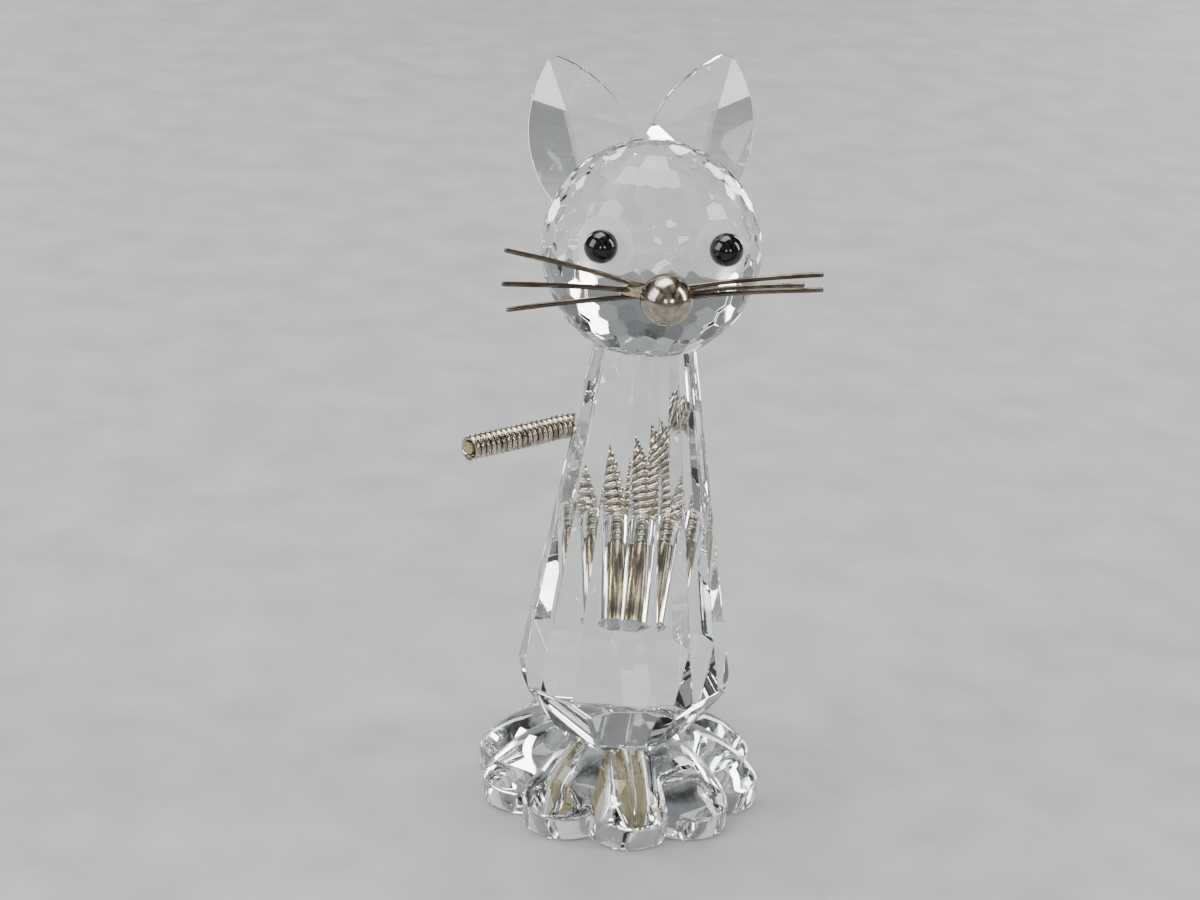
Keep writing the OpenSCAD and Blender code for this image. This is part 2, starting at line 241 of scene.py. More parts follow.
def crystal(name, wave_mm, wave_strength, scratch_strength):
    """Clear polished crystal: wave_mm across its slow unevenness, with fine scratches over that."""
    material, tree = new_material(name)
    place = add(tree, "ShaderNodeTexCoord").outputs["Object"]
    waves = add(tree, "ShaderNodeTexNoise", {"Vector": place, "Scale": 1 / (wave_mm * MM), "Detail": 1.0})
    # Polishing scratches are microns wide; they are drawn 0.15 mm apart so that they show
    drawn_out = add(tree, "ShaderNodeMapping", {"Vector": place, "Scale": (1.0, 1.0, 0.08)})
    scratches = add(tree, "ShaderNodeTexNoise", {
        "Vector": drawn_out.outputs["Vector"], "Scale": 1 / (0.15 * MM), "Detail": 2.0,
    })
    haze = add(tree, "ShaderNodeMapRange", {
        "Value": scratches.outputs["Fac"],
        "From Min": 0.55, "From Max": 0.8, "To Min": 0.0, "To Max": 0.035,
    })
    slow = add(tree, "ShaderNodeBump", {
        "Height": waves.outputs["Fac"], "Strength": wave_strength, "Distance": 0.05 * MM,
    })
    fine = add(tree, "ShaderNodeBump", {
        "Height": scratches.outputs["Fac"], "Strength": scratch_strength, "Distance": 0.002 * MM,
        "Normal": slow.outputs["Normal"],
    })
    glass = add(tree, "ShaderNodeBsdfPrincipled", {
        "Base Color": linear("#fbfdfd"), "Transmission Weight": 1.0, "IOR": CRYSTAL_IOR,
        "Roughness": haze.outputs["Result"], "Normal": fine.outputs["Normal"],
    })
    add(tree, "ShaderNodeOutputMaterial", {"Surface": glass.outputs["BSDF"]})
    return material


cut_crystal = crystal("cut_lead_crystal", 6.0, 0.02, 0.05)
pressed_crystal = crystal("pressed_lead_crystal", 3.0, 0.12, 0.03)

# %% Clear cement and ground glass
cement, tree = new_material("index_matched_cement")
place = add(tree, "ShaderNodeTexCoord").outputs["Object"]
flow = add(tree, "ShaderNodeTexNoise", {"Vector": place, "Scale": 1 / (1.5 * MM)})
tint = add(tree, "ShaderNodeMix", {
    "Factor": flow.outputs["Fac"], "A": linear("#ffffff"), "B": linear("#f4f5f0"),
}, data_type="RGBA")
clear = add(tree, "ShaderNodeBsdfPrincipled", {
    "Base Color": tint.outputs["Result"], "Transmission Weight": 1.0, "IOR": 1.0, "Roughness": 0.0,
})
add(tree, "ShaderNodeOutputMaterial", {"Surface": clear.outputs["BSDF"]})

# A seat is ground flat for the cement and left with a fine white grain
ground_crystal, tree = new_material("ground_lead_crystal")
place = add(tree, "ShaderNodeTexCoord").outputs["Object"]
grit = add(tree, "ShaderNodeTexNoise", {"Vector": place, "Scale": 1 / (0.12 * MM), "Detail": 3.0})
grain = add(tree, "ShaderNodeMapRange", {
    "Value": grit.outputs["Fac"], "From Min": 0.3, "From Max": 0.7, "To Min": 0.25, "To Max": 0.6,
})
frosted = add(tree, "ShaderNodeBsdfPrincipled", {
    "Base Color": linear("#fafafa"), "Transmission Weight": 0.85, "IOR": CRYSTAL_IOR,
    "Roughness": grain.outputs["Result"],
})
add(tree, "ShaderNodeOutputMaterial", {"Surface": frosted.outputs["BSDF"]})
print("glass:", cut_crystal.name, pressed_crystal.name, cement.name, ground_crystal.name)

# %% [markdown]
# ## Black glass and metal
# The eyes are jet-black glass beads, so smooth that they show the lamps as sharp spots. The nose is a
# ball plated in warm nickel, and the whiskers are drawn wire, darker and streaked along their length.
# The tail is wound from plated wire whose hollows have gone brown. The cement that fills its bore has
# cured golden, and mirrors the room where it meets the glass, so it is built as the metals are.

# %% Black glass
black_glass, tree = new_material("jet_black_glass")
place = add(tree, "ShaderNodeTexCoord").outputs["Object"]
specks = add(tree, "ShaderNodeTexNoise", {"Vector": place, "Scale": 1 / (0.3 * MM), "Detail": 2.0})
polish = add(tree, "ShaderNodeMapRange", {
    "Value": specks.outputs["Fac"], "From Min": 0.3, "From Max": 0.75, "To Min": 0.03, "To Max": 0.12,
})
depth = add(tree, "ShaderNodeMix", {
    "Factor": specks.outputs["Fac"], "A": linear("#050506"), "B": linear("#0d0c0e"),
}, data_type="RGBA")
jet = add(tree, "ShaderNodeBsdfPrincipled", {
    "Base Color": depth.outputs["Result"], "Roughness": polish.outputs["Result"], "IOR": 1.52,
})
add(tree, "ShaderNodeOutputMaterial", {"Surface": jet.outputs["BSDF"]})


# %% Metals
def worn_metal(name, bright, dull, grain_mm, stretch, smooth, rough):
    """Metal whose colour and polish vary over patches grain_mm across, drawn out by stretch."""
    material, tree = new_material(name)
    place = add(tree, "ShaderNodeTexCoord").outputs["Object"]
    drawn = add(tree, "ShaderNodeMapping", {"Vector": place, "Scale": stretch})
    patches = add(tree, "ShaderNodeTexNoise", {
        "Vector": drawn.outputs["Vector"], "Scale": 1 / (grain_mm * MM), "Detail": 4.0,
    })
    share = add(tree, "ShaderNodeMapRange", {
        "Value": patches.outputs["Fac"], "From Min": 0.35, "From Max": 0.65,
    }).outputs["Result"]
    colour = add(tree, "ShaderNodeMix", {
        "Factor": share, "A": linear(bright), "B": linear(dull),
    }, data_type="RGBA")
    finish = add(tree, "ShaderNodeMapRange", {"Value": share, "To Min": smooth, "To Max": rough})
    pits = add(tree, "ShaderNodeBump", {
        "Height": patches.outputs["Fac"], "Strength": 0.15, "Distance": 0.01 * MM,
    })
    metal = add(tree, "ShaderNodeBsdfPrincipled", {
        "Base Color": colour.outputs["Result"], "Metallic": 1.0, "Roughness": finish.outputs["Result"],
        "Normal": pits.outputs["Normal"],
    })
    add(tree, "ShaderNodeOutputMaterial", {"Surface": metal.outputs["BSDF"]})
    return material


nickel_plate = worn_metal("polished_nickel_plate", "#b9ad9c", "#8f8373", 0.8, (1, 1, 1), 0.1, 0.24)
drawn_wire = worn_metal("drawn_steel_wire", "#857a6e", "#4d443c", 0.5, (0.1, 1, 1), 0.15, 0.3)
solder_metal = worn_metal("flowed_solder", "#e9dfca", "#b5a587", 0.4, (1, 1, 1), 0.2, 0.4)
wound_plate = worn_metal("plated_winding_wire", "#cdc7ba", "#857c6a", 0.9, (1, 1, 1), 0.08, 0.2)
bore_cement = worn_metal("golden_cement", "#d2c394", "#4a4028", 2.4, (1, 1, 1), 0.06, 0.14)
core_wire = worn_metal("bright_core_wire", "#e0c9a4", "#a8845c", 0.3, (1, 1, 1), 0.2, 0.4)
print("metals:", nickel_plate.name, drawn_wire.name, solder_metal.name, wound_plate.name, core_wire.name)

# %% [markdown]
# ## Cut pieces: body, head and ears
# The CAD solids already have every facet in its place, but as loose triangles with knife edges. A real
# cut edge is polished over by a few hundredths of a millimetre and shows as a bright line. So each
# piece is a copy of its CAD node: its triangles are joined into whole facets, and its edges bevelled.
# The bore in the body's back is drilled, so its wall stays round and smooth.

# %% The bore
BORE_RISE = math.radians(50)
BORE_TURN = math.radians(8)
bore_way = Vector((
    math.cos(BORE_RISE) * math.sin(BORE_TURN),
    math.cos(BORE_RISE) * math.cos(BORE_TURN),
    math.sin(BORE_RISE),
))
tail_pivots = [Vector(joint["pos_m"]) for joint in frame["joints"]]
BORE_REACH = 1.9 * MM  # A little more than the bore's radius of 1.7 mm


def in_bore(point):
    """Is a point of the body within reach of the bore's axis, and behind its mouth?"""
    from_pivot = point - tail_pivots[0]
    off_axis = from_pivot - from_pivot.dot(bore_way) * bore_way
    return off_axis.length < BORE_REACH and from_pivot.dot(bore_way) < 0


# %% Cut pieces
FLAT_WITHIN = math.radians(0.4)  # Triangles that meet at less than this are one facet
BORE_RIM = math.radians(40)  # The bore's wall meets its bottom and its mouth at more than this


def facetted(node, name, smooth_below, bevel_above, bevel_mm, is_bore=None):
    """A copy of a CAD node with whole facets and softened edges. Angles are in degrees.

    is_bore says whether a point is on the wall of a bore, whose faces are shaded as one round wall.
    """
    mesh = frame["nodes"][node].data.copy()
    shape = bmesh.new()
    shape.from_mesh(mesh)
    bmesh.ops.remove_doubles(shape, verts=shape.verts, dist=SAME_PLACE)
    bmesh.ops.dissolve_limit(shape, angle_limit=FLAT_WITHIN, verts=shape.verts, edges=shape.edges)
    bore = [e for e in shape.edges if is_bore and all(is_bore(v.co) for v in e.verts)]
    inside_bore = {e for e in bore if e.is_manifold and e.calc_face_angle() < BORE_RIM}
    cut = [
        e for e in shape.edges
        if e.is_manifold and e not in inside_bore and e.calc_face_angle() > math.radians(bevel_above)
    ]
    bmesh.ops.bevel(
        shape, geom=cut, offset=bevel_mm * MM, segments=2, profile=0.5, affect="EDGES",
        clamp_overlap=True,
    )
    shape.to_mesh(mesh)
    shape.free()
    mesh.shade_smooth()
    mesh.set_sharp_from_angle(angle=math.radians(smooth_below))
    for edge in mesh.edges if is_bore else ():
        ends = [mesh.vertices[v].co for v in edge.vertices]
        along_bore = abs((ends[1] - ends[0]).normalized().dot(bore_way)) > 0.99
        if along_bore and all(is_bore(end) for end in ends):
            edge.use_edge_sharp = False
    mesh.name = name
    return new_object(name, mesh)


body = facetted("body_prism", "cut_body", 0.5, 5, 0.09, in_bore)
head = facetted("head_ball", "cut_head", 3, 4, 0.06)
left_ear = facetted("ear_left", "cut_left_ear", 3.5, 6, 0.07)
right_ear = facetted("ear_right", "cut_right_ear", 3.5, 6, 0.07)
for piece, node in (
    (body, "body_prism"), (head, "head_ball"), (left_ear, "ear_left"), (right_ear, "ear_right"),
):
    piece.data.materials.clear()
    piece.data.materials.append(cut_crystal)
    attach(piece, "figure")
    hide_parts(node)
    print(piece.name, "has", len(piece.data.polygons), "faces")


# %% Cemented and ground faces
def repaint(piece, material, facing, at_least=0.999):
    """Gives the faces of a piece that look along facing another material."""
    piece.data.materials.append(material)
    slot_number = len(piece.data.materials) - 1
    painted = [p for p in piece.data.polygons if p.normal.dot(Vector(facing).normalized()) > at_least]
    for face in painted:
        face.material_index = slot_number
    print(piece.name, ":", len(painted), "faces of", material.name)


EYE_TURN = math.radians(33)
EYE_RISE = math.radians(15.8)


def eye_way(side):
    """The way an eye looks: -1 is the left one, 1 the right one."""
    return Vector((
        side * math.cos(EYE_RISE) * math.sin(EYE_TURN),
        -math.cos(EYE_RISE) * math.cos(EYE_TURN),
        math.sin(EYE_RISE),
    ))


repaint(body, cement, (0, 0, -1))
repaint(body, cement, (0, 0, 1))
repaint(head, cement, (0, 0, -1))
for side in (-1, 1):
    repaint(head, ground_crystal, eye_way(side), 0.9999)

# %% [markdown]
# ## The petalled foot
# The foot is pressed in a mould: ten petals, each a soft barrel that runs up to the seat, with a sharp
# crease between neighbours and a low upright wall. One petal is worked out from that rule as a grid of
# points. Geometry Nodes then turn it ten times round the middle, and its edges are merged into one
# closed piece.

# %% One petal
PETALS = 10
HALF_PETAL = math.pi / PETALS
# In millimetres. The ridge is the petal's middle line, and the barrel the curve across it
TIP_R, NOTCH_R, SEAT_R = 13.8, 11.9, 6.6
WALL_H, SEAT_Z = 2.15, 6.9
RIDGE_R, BARREL_R = 12.0, 4.9
RIDGE_OUT, RIDGE_DOWN = 0.4, 0.15  # Where the ridge starts, from the seat's rim
SEAT_RIM = 0.3
EDGE_R = 0.22
MIDDLE_R = 0.001  # The sections stop just short of the axis, and are merged there

notch = Vector((NOTCH_R * math.cos(HALF_PETAL), NOTCH_R * math.sin(HALF_PETAL)))
arc_centre = (TIP_R ** 2 - notch.length_squared) / (2 * (TIP_R - notch.x))
arc_r = TIP_R - arc_centre
tip_point = Vector((TIP_R, WALL_H))
seat_point = Vector((SEAT_R + RIDGE_OUT, SEAT_Z - RIDGE_DOWN))
half_chord = (tip_point - seat_point).length / 2
chord_way = (tip_point - seat_point).normalized()
ridge_centre = (tip_point + seat_point) / 2 + math.sqrt(RIDGE_R ** 2 - half_chord ** 2) * Vector(
    (chord_way.y, -chord_way.x)
)


def outline(angle):
    """Radius of the petal's wall at an angle from its middle."""
    return arc_centre * math.cos(angle) + math.sqrt(arc_r ** 2 - (arc_centre * math.sin(angle)) ** 2)


def petal_top(radius, angle):
    """Height of the petal's top: a barrel lying across the petal, highest along the middle."""
    across = radius * math.sin(angle)
    barrel = RIDGE_R - BARREL_R + math.sqrt(BARREL_R ** 2 - across ** 2)
    along = radius * math.cos(angle) - ridge_centre.x
    return min(SEAT_Z, ridge_centre.y + math.sqrt(barrel ** 2 - along ** 2))


def rounded(start, middle, end, steps):
    """Points on a curve that leaves start and reaches end, drawn towards middle."""
    curve = []
    for i in range(1, steps + 1):
        t = i / steps
        curve.append((1 - t) ** 2 * start + 2 * t * (1 - t) * middle + t ** 2 * end)
    return curve


TOP_STEPS, ACROSS_STEPS, EDGE_STEPS = 22, 24, 4


def petal_section(angle):
    """Radius and height from the middle of the seat, over the petal and the wall, to the underside."""
    out = outline(angle)
    edge_z = petal_top(out, angle)
    section = [Vector((MIDDLE_R, SEAT_Z)), Vector((SEAT_R - SEAT_RIM, SEAT_Z))]
    for i in range(TOP_STEPS + 1):
        radius = SEAT_R + (out - EDGE_R - SEAT_R) * i / TOP_STEPS
        section.append(Vector((radius, petal_top(radius, angle))))
    section += rounded(section[-1], Vector((out, edge_z)), Vector((out, edge_z - EDGE_R)), EDGE_STEPS)
    section.append(Vector((out, EDGE_R)))
    section += rounded(section[-1], Vector((out, 0)), Vector((out - EDGE_R, 0)), EDGE_STEPS)
    section.append(Vector((SEAT_R, 0)))
    section.append(Vector((MIDDLE_R, 0)))
    return section


petal = bmesh.new()
grid = []
for j in range(ACROSS_STEPS + 1):
    angle = -HALF_PETAL + 2 * HALF_PETAL * j / ACROSS_STEPS
    turn = angle - math.pi / 2
    grid.append([
        petal.verts.new((r * math.cos(turn) * MM, r * math.sin(turn) * MM, z * MM))
        for r, z in petal_section(angle)
    ])
for first, second in zip(grid, grid[1:]):
    for i in range(len(first) - 1):
        petal.faces.new((first[i], first[i + 1], second[i + 1], second[i]))
petal_mesh = bpy.data.meshes.new("one_petal")
petal.to_mesh(petal_mesh)
petal.free()
print("one petal:", len(petal_mesh.polygons), "faces, arc radius", round(arc_r, 2), "mm")

# %% Ten petals in a ring
ring_tree = bpy.data.node_groups.new("petal_ring", "GeometryNodeTree")
ring_tree.interface.new_socket("Geometry", in_out="INPUT", socket_type="NodeSocketGeometry")
ring_tree.interface.new_socket("Petals", in_out="INPUT", socket_type="NodeSocketInt")
ring_tree.interface.new_socket("Glass", in_out="INPUT", socket_type="NodeSocketMaterial")
ring_tree.interface.new_socket("Geometry", in_out="OUTPUT", socket_type="NodeSocketGeometry")
given = add(ring_tree, "NodeGroupInput").outputs
spots = add(ring_tree, "GeometryNodePoints", {"Count": given["Petals"]})
step = add(ring_tree, "ShaderNodeMath", {0: 2 * math.pi, 1: given["Petals"]}, operation="DIVIDE")
number = add(ring_tree, "GeometryNodeInputIndex")
turn = add(ring_tree, "ShaderNodeMath", {0: number.outputs[0], 1: step.outputs[0]}, operation="MULTIPLY")
spin = add(ring_tree, "ShaderNodeCombineXYZ", {"Z": turn.outputs[0]})
copies = add(ring_tree, "GeometryNodeInstanceOnPoints", {
    "Points": spots.outputs["Points"], "Instance": given["Geometry"], "Rotation": spin.outputs["Vector"],
})
real = add(ring_tree, "GeometryNodeRealizeInstances", {"Geometry": copies.outputs["Instances"]})
# More than the sections' gap at the axis, and far less than any other distance in the foot
closed = add(ring_tree, "GeometryNodeMergeByDistance", {
    "Geometry": real.outputs["Geometry"], "Distance": 4 * MIDDLE_R * MM,
})
glazed = add(ring_tree, "GeometryNodeSetMaterial", {
    "Geometry": closed.outputs["Geometry"], "Material": given["Glass"],
})
add(ring_tree, "NodeGroupOutput", {"Geometry": glazed.outputs["Geometry"]})


def grown(piece, tree, inputs):
    """The mesh that a Geometry Nodes tree makes from a piece, as a plain mesh."""
    modifier = piece.modifiers.new(tree.name, "NODES")
    modifier.node_group = tree
    sockets = {s.name: s.identifier for s in tree.interface.items_tree if s.in_out == "INPUT"}
    for name, value in inputs.items():
        modifier[sockets[name]] = value
    piece.update_tag()
    evaluated = piece.evaluated_get(bpy.context.evaluated_depsgraph_get())
    mesh = bpy.data.meshes.new_from_object(evaluated)
    bpy.data.objects.remove(piece)
    return mesh


CREASE = math.radians(22)
petal_pattern = new_object("petal_pattern", petal_mesh)
foot_mesh = grown(petal_pattern, ring_tree, {"Petals": PETALS, "Glass": pressed_crystal})
foot_mesh.shade_smooth()
foot_mesh.set_sharp_from_angle(angle=CREASE)
foot_shape = bmesh.new()
foot_shape.from_mesh(foot_mesh)
bmesh.ops.recalc_face_normals(foot_shape, faces=foot_shape.faces)
open_edges = sum(1 for e in foot_shape.edges if not e.is_manifold)
foot_shape.to_mesh(foot_mesh)
foot_shape.free()
foot = new_object("pressed_foot", foot_mesh)
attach(foot, "figure")
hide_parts("foot_rosette")
repaint(foot, cement, (0, 0, 1), 0.99999)
print("foot:", len(foot_mesh.polygons), "faces,", open_edges, "open edges")

# %% [markdown]
# ## Turned pieces: eyes and nose
# A bead and a ball are round about one axis, so a section spun about that axis makes them. Each has a
# small flat at its back, where it is cemented or soldered, with a softened rim.

# %% Turned pieces
RIM_SOFT = 0.01 * MM
SHARP_RIM = math.radians(40)


def turned(name, centre, way, radius, flat_at, material, steps=64):
    """A ball with a flat back. way points forward, and the flat is flat_at behind the centre."""
    rim = math.acos(flat_at / radius)
    section = []
    for i in range(steps // 2 + 1):
        angle = i / (steps // 2) * (math.pi - rim)
        section.append((radius * math.sin(angle), radius * math.cos(angle)))
    last_r, last_z = section[-1]
    section[-1] = (last_r - RIM_SOFT, last_z)
    section.append((0.0, last_z))
    shape = bmesh.new()
    points = [shape.verts.new((r, 0, z)) for r, z in section]
    lines = [shape.edges.new(pair) for pair in zip(points, points[1:])]
    bmesh.ops.spin(
        shape, geom=points + lines, axis=(0, 0, 1), cent=(0, 0, 0), angle=2 * math.pi, steps=steps,
    )
    bmesh.ops.remove_doubles(shape, verts=shape.verts, dist=SAME_PLACE)
    bmesh.ops.recalc_face_normals(shape, faces=shape.faces)
    place = Matrix.Translation(centre) @ Vector(way).to_track_quat("Z", "Y").to_matrix().to_4x4()
    bmesh.ops.transform(shape, matrix=place, verts=shape.verts)
    mesh = bpy.data.meshes.new(name)
    shape.to_mesh(mesh)
    shape.free()
    mesh.shade_smooth()
    mesh.set_sharp_from_angle(angle=SHARP_RIM)
    mesh.materials.append(material)
    return new_object(name, mesh)


HEAD_CENTRE = Vector((0, 0, 54.47)) * MM
# EYE_SEAT is how far the ground seat is from the head's centre. The flat takes EYE_SINK off the bead.
EYE_R, EYE_SEAT, EYE_SINK = 1.5 * MM, 9.62 * MM, 0.57 * MM
behind = EYE_R - EYE_SINK
for side, name in ((-1, "left"), (1, "right")):
    way = eye_way(side)
    eye = turned(
        f"{name}_eye_bead", HEAD_CENTRE + (EYE_SEAT + behind) * way, way, EYE_R, behind, black_glass,
    )
    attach(eye, "figure")
    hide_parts(f"eye_{name}")

nose_low, nose_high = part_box("nose_ball")
NOSE_R = (nose_high.x - nose_low.x) / 2
nose_centre = Vector(((nose_low.x + nose_high.x) / 2, nose_low.y + NOSE_R, (nose_low.z + nose_high.z) / 2))
nose = turned("plated_nose", nose_centre, (0, -1, 0), NOSE_R, nose_high.y - nose_centre.y, nickel_plate)
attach(nose, "figure")
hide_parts("nose_ball")
print("nose radius", round(NOSE_R / MM, 2), "mm at", [round(v / MM, 1) for v in nose_centre])

# %% [markdown]
# ## Wires: whiskers and tail
# A whisker is a wire along a line, and the tail's sleeve is a wire wound round a line. One Geometry
# Nodes tree makes both. It walks along a curve, and at each step moves out from it by the winding's
# radius, at an angle that grows with the distance walked. A winding radius of nought leaves the wire
# on the curve. Its ends can be rounded over.

# %% Wire along a curve
wire_tree = bpy.data.node_groups.new("wire_along_curve", "GeometryNodeTree")
for name, kind in (
    ("Geometry", "NodeSocketGeometry"), ("From", "NodeSocketFloat"), ("To", "NodeSocketFloat"),
    ("Step", "NodeSocketFloat"), ("Winding Radius", "NodeSocketFloat"), ("Pitch", "NodeSocketFloat"),
    ("Wire Radius", "NodeSocketFloat"), ("Sides", "NodeSocketInt"), ("Round From", "NodeSocketFloat"),
    ("Round To", "NodeSocketFloat"), ("Metal", "NodeSocketMaterial"),
):
    wire_tree.interface.new_socket(name, in_out="INPUT", socket_type=kind)
wire_tree.interface.new_socket("Geometry", in_out="OUTPUT", socket_type="NodeSocketGeometry")
given = add(wire_tree, "NodeGroupInput").outputs


def maths(operation, first, second=0.0):
    """The result of one sum in the wire tree."""
    return add(wire_tree, "ShaderNodeMath", {0: first, 1: second}, operation=operation).outputs[0]


# A straight line stands for the stretch that is walked, and is then moved point by point
last_end = add(wire_tree, "ShaderNodeCombineXYZ", {"X": 1.0}).outputs["Vector"]
ruler = add(wire_tree, "GeometryNodeCurvePrimitiveLine", {"Start": (0, 0, 0), "End": last_end})
stretch = maths("SUBTRACT", given["To"], given["From"])
count = maths("ADD", maths("DIVIDE", stretch, given["Step"]), 2.0)
marked = add(wire_tree, "GeometryNodeResampleCurve", {"Curve": ruler.outputs["Curve"], "Count": count})
share = add(wire_tree, "GeometryNodeSplineParameter").outputs["Factor"]
walked = maths("ADD", maths("MULTIPLY", share, stretch), given["From"])
spot = add(wire_tree, "GeometryNodeSampleCurve", {
    "Curves": given["Geometry"], "Length": walked,
}, mode="LENGTH", use_all_curves=True).outputs
sideways = add(wire_tree, "ShaderNodeVectorMath", {
    0: spot["Tangent"], 1: spot["Normal"],
}, operation="CROSS_PRODUCT").outputs["Vector"]
angle = maths("MULTIPLY", maths("DIVIDE", walked, given["Pitch"]), 2 * math.pi)
out = maths("MULTIPLY", maths("COSINE", angle), given["Winding Radius"])
over = maths("MULTIPLY", maths("SINE", angle), given["Winding Radius"])
out_part = add(wire_tree, "ShaderNodeVectorMath", {0: spot["Normal"], "Scale": out}, operation="SCALE")
over_part = add(wire_tree, "ShaderNodeVectorMath", {0: sideways, "Scale": over}, operation="SCALE")
offset = add(wire_tree, "ShaderNodeVectorMath", {
    0: out_part.outputs["Vector"], 1: over_part.outputs["Vector"],
}, operation="ADD")
where = add(wire_tree, "ShaderNodeVectorMath", {
    0: spot["Position"], 1: offset.outputs["Vector"],
}, operation="ADD")
# Within one wire radius of a rounded end the wire narrows as a half ball does
before_end = maths("SUBTRACT", given["Round To"], walked)
after_start = maths("SUBTRACT", walked, given["Round From"])
nearest = maths("MAXIMUM", maths("MINIMUM", before_end, after_start), 0.0)
short = maths("SUBTRACT", 1.0, maths("MINIMUM", maths("DIVIDE", nearest, given["Wire Radius"]), 1.0))
SMALLEST_SQUARED = 0.0004  # Keeps the last ring of a rounded end a fiftieth of the wire's width
half_ball = maths("SUBTRACT", 1.0, maths("MULTIPLY", short, short))
ball = maths("SQRT", maths("MAXIMUM", half_ball, SMALLEST_SQUARED))
placed = add(wire_tree, "GeometryNodeSetPosition", {
    "Geometry": marked.outputs["Curve"], "Position": where.outputs["Vector"],
})
narrowed = add(wire_tree, "GeometryNodeSetCurveRadius", {
    "Curve": placed.outputs["Geometry"], "Radius": ball,
})
profile = add(wire_tree, "GeometryNodeCurvePrimitiveCircle", {
    "Resolution": given["Sides"], "Radius": given["Wire Radius"],
})
wire_size = add(wire_tree, "GeometryNodeInputRadius").outputs[0]
swept = add(wire_tree, "GeometryNodeCurveToMesh", {
    "Curve": narrowed.outputs["Curve"], "Profile Curve": profile.outputs["Curve"],
    "Scale": wire_size, "Fill Caps": True,
})
smooth = add(wire_tree, "GeometryNodeSetShadeSmooth", {"Geometry": swept.outputs["Mesh"]})
real = add(wire_tree, "GeometryNodeRealizeInstances", {"Geometry": smooth.outputs["Geometry"]})
finished = add(wire_tree, "GeometryNodeSetMaterial", {
    "Geometry": real.outputs["Geometry"], "Material": given["Metal"],
})
add(wire_tree, "NodeGroupOutput", {"Geometry": finished.outputs["Geometry"]})


def through(name, points, steps=16):
    """A curve that passes smoothly through the points, as an object, and its length."""
    ends = [2 * points[0] - points[1]] + points + [2 * points[-1] - points[-2]]
    smooth_points = []
    for a, b, c, d in zip(ends, ends[1:], ends[2:], ends[3:]):
        for i in range(steps):
            t = i / steps
            smooth_points.append(0.5 * (
                2 * b + (c - a) * t + (2 * a - 5 * b + 4 * c - d) * t ** 2
                + (3 * b - a - 3 * c + d) * t ** 3
            ))
    smooth_points.append(points[-1])
    data = bpy.data.curves.new(name, "CURVE")
    data.dimensions = "3D"
    spline = data.splines.new("POLY")
    spline.points.add(len(smooth_points) - 1)
    for place, point in zip(spline.points, smooth_points):
        place.co = (*point, 1)
    length = sum((q - p).length for p, q in zip(smooth_points, smooth_points[1:]))
    return new_object(name, data), length


def wire(name, path, inputs):
    """A wire along a path, as a plain mesh object. The path stays for the next wire."""
    curve = new_object(f"{name}_path", path.data)
    mesh = grown(curve, wire_tree, inputs)
    mesh.name = name
    return new_object(name, mesh)


print("wire tree:", len(wire_tree.nodes), "nodes")

# %% Whiskers
# The three wires run side by side through the solder, as far as BUNDLE_HALF to either side of the
# middle, and spread out from there. Each bows up a little, as a wire bent by hand does.
WHISKER_R = 0.23 * MM
BUNDLE_HALF = 1.7 * MM
BEND_NEAR = 0.3 * MM
WHISKER_BOW = 0.12 * MM
WHISKER_STEP = 0.06 * MM
for name in ("upper", "middle", "lower"):
    corners = [v.co.copy() for v in frame["nodes"][f"whisker_{name}"].data.vertices]
    leftmost = min(corners, key=lambda c: c.x).x
    rightmost = max(corners, key=lambda c: c.x).x
    left_end = [c for c in corners if c.x < leftmost + WHISKER_R]
    right_end = [c for c in corners if c.x > rightmost - WHISKER_R]
    bends = [c for c in corners if abs(abs(c.x) - BUNDLE_HALF) < BEND_NEAR]
    tip_left = sum(left_end, Vector()) / len(left_end)
    tip_right = sum(right_end, Vector()) / len(right_end)
    centre = sum(bends, Vector()) / len(bends)
    bend_left = Vector((-BUNDLE_HALF, centre.y, centre.z))
    bend_right = Vector((BUNDLE_HALF, centre.y, centre.z))
    bow = Vector((0, 0, WHISKER_BOW))
    line = [
        tip_left, (2 * tip_left + bend_left) / 3 + bow, (tip_left + 2 * bend_left) / 3 + bow, bend_left,
        bend_right, (tip_right + 2 * bend_right) / 3 + bow, (2 * tip_right + bend_right) / 3 + bow,
        tip_right,
    ]
    path, length = through(f"whisker_line_{name}", line)
    whisker = wire(f"{name}_whisker", path, {
        "From": 0.0, "To": length, "Step": WHISKER_STEP, "Winding Radius": 0.0, "Pitch": 1.0,
        "Wire Radius": WHISKER_R, "Sides": 12, "Round From": 0.0, "Round To": length, "Metal": drawn_wire,
    })
    bpy.data.objects.remove(path)
    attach(whisker, "figure")
    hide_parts(f"whisker_{name}")
    print(whisker.name, round(length / MM, 1), "mm long,", len(whisker.data.polygons), "faces")

# %% [markdown]
# ## Solder
# Solder is drawn round hot wires by its own surface tension, so it thins towards its ends and bulges
# between the wires. The lump is a tube whose radius follows that: fattest in the middle, closed at
# both ends, and a little uneven.

